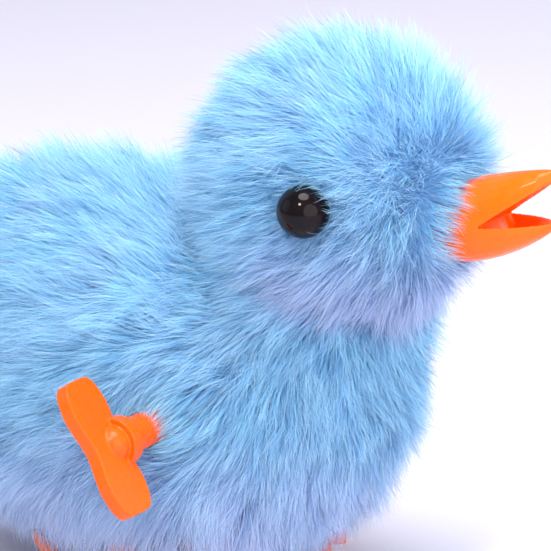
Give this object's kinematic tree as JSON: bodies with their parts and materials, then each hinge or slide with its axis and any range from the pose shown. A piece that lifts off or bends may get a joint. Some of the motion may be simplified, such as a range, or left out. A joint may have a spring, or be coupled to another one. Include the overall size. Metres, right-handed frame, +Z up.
{
  "type": "wind-up hopping chick",
  "caption": "Plush-covered clockwork chick with bead eyes, an open beak, a side winding key and crank-driven feet that make it hop.",
  "frame": {"origin": "on the ground under the middle of the toy's bounding box, at the height of the soles", "axes": "+X out of the beak, +Y to the chick's own left side, away from the winding key, +Z up"},
  "size_m": [0.105, 0.0706, 0.0849],
  "materials": {
    "blue_plush": "long pile plush",
    "white_fibre": "loose fibre filling",
    "orange_plastic": "gloss",
    "black_bead": "gloss",
    "white_washer": "satin",
    "case_plastic": "satin",
    "gear_plastic": "satin",
    "steel": "satin",
    "spring_steel": "blued"
  },
  "bodies": {
    "chick": {"plush_left": "blue_plush", "plush_right": "blue_plush", "plush_belly": "blue_plush", "head_stuffing": "white_fibre", "body_stuffing": "white_fibre", "beak": "orange_plastic", "beak_washer": "white_washer", "eye_left": "black_bead", "eye_right": "black_bead", "eye_washer_left": "white_washer", "eye_washer_right": "white_washer", "mainspring": "spring_steel", "case_left": "case_plastic", "case_right": "case_plastic", "case_screw_1": "steel", "case_screw_2": "steel", "case_screw_3": "steel", "case_screw_4": "steel"},
    "great_wheel": {"great_wheel": "gear_plastic"},
    "click": {"click": "gear_plastic"},
    "key": {"winding_key": "orange_plastic", "winding_arbor": "steel", "ratchet_wheel": "steel"},
    "first_wheel": {"first_wheel": "gear_plastic", "first_axle": "steel"},
    "second_wheel": {"second_wheel": "gear_plastic", "second_axle": "steel"},
    "crank": {"crank_pinion": "gear_plastic", "crank_axle": "steel", "crank_left": "gear_plastic", "crank_right": "gear_plastic", "pin_cap_left": "gear_plastic", "pin_cap_right": "gear_plastic"},
    "leg_left": {"leg_left": "orange_plastic"},
    "leg_right": {"leg_right": "orange_plastic"}
  },
  "joints": [
    {"name": "crank_turn", "type": "hinge", "parent": "chick", "child": "crank", "pos_m": [-0.01511, 0.01045, 0.0205], "axis": [0, 1, 0], "continuous": true},
    {"name": "leg_left_swing", "type": "hinge", "parent": "crank", "child": "leg_left", "pos_m": [-0.01511, 0.02395, 0.0227], "axis": [0, 1, 0], "continuous": true},
    {"name": "leg_right_swing", "type": "hinge", "parent": "crank", "child": "leg_right", "pos_m": [-0.01511, -0.00305, 0.0227], "axis": [0, 1, 0], "continuous": true},
    {"name": "second_wheel_turn", "type": "hinge", "parent": "chick", "child": "second_wheel", "pos_m": [-0.02021, 0.01045, 0.03002], "axis": [0, 1, 0], "continuous": true},
    {"name": "first_wheel_turn", "type": "hinge", "parent": "chick", "child": "first_wheel", "pos_m": [-0.01306, 0.01045, 0.0389], "axis": [0, 1, 0], "continuous": true},
    {"name": "great_wheel_turn", "type": "hinge", "parent": "chick", "child": "great_wheel", "pos_m": [-0.00111, 0.01045, 0.032], "axis": [0, 1, 0], "continuous": true},
    {"name": "key_wind", "type": "hinge", "parent": "great_wheel", "child": "key", "pos_m": [-0.00111, 0.01045, 0.032], "axis": [0, 1, 0], "range_deg": [0, 1440]},
    {"name": "click_drop", "type": "hinge", "parent": "great_wheel", "child": "click", "pos_m": [-0.00844, 0.01045, 0.02933], "axis": [0, 1, 0], "range_deg": [0, 7]}
  ],
  "couplings": [
    {"joint": "leg_left_swing", "follows": "crank_turn", "ratio": -1},
    {"joint": "leg_right_swing", "follows": "crank_turn", "ratio": -1},
    {"joint": "second_wheel_turn", "follows": "crank_turn", "ratio": -0.5},
    {"joint": "first_wheel_turn", "follows": "crank_turn", "ratio": 0.17857},
    {"joint": "great_wheel_turn", "follows": "crank_turn", "ratio": -0.049603}
  ]
}
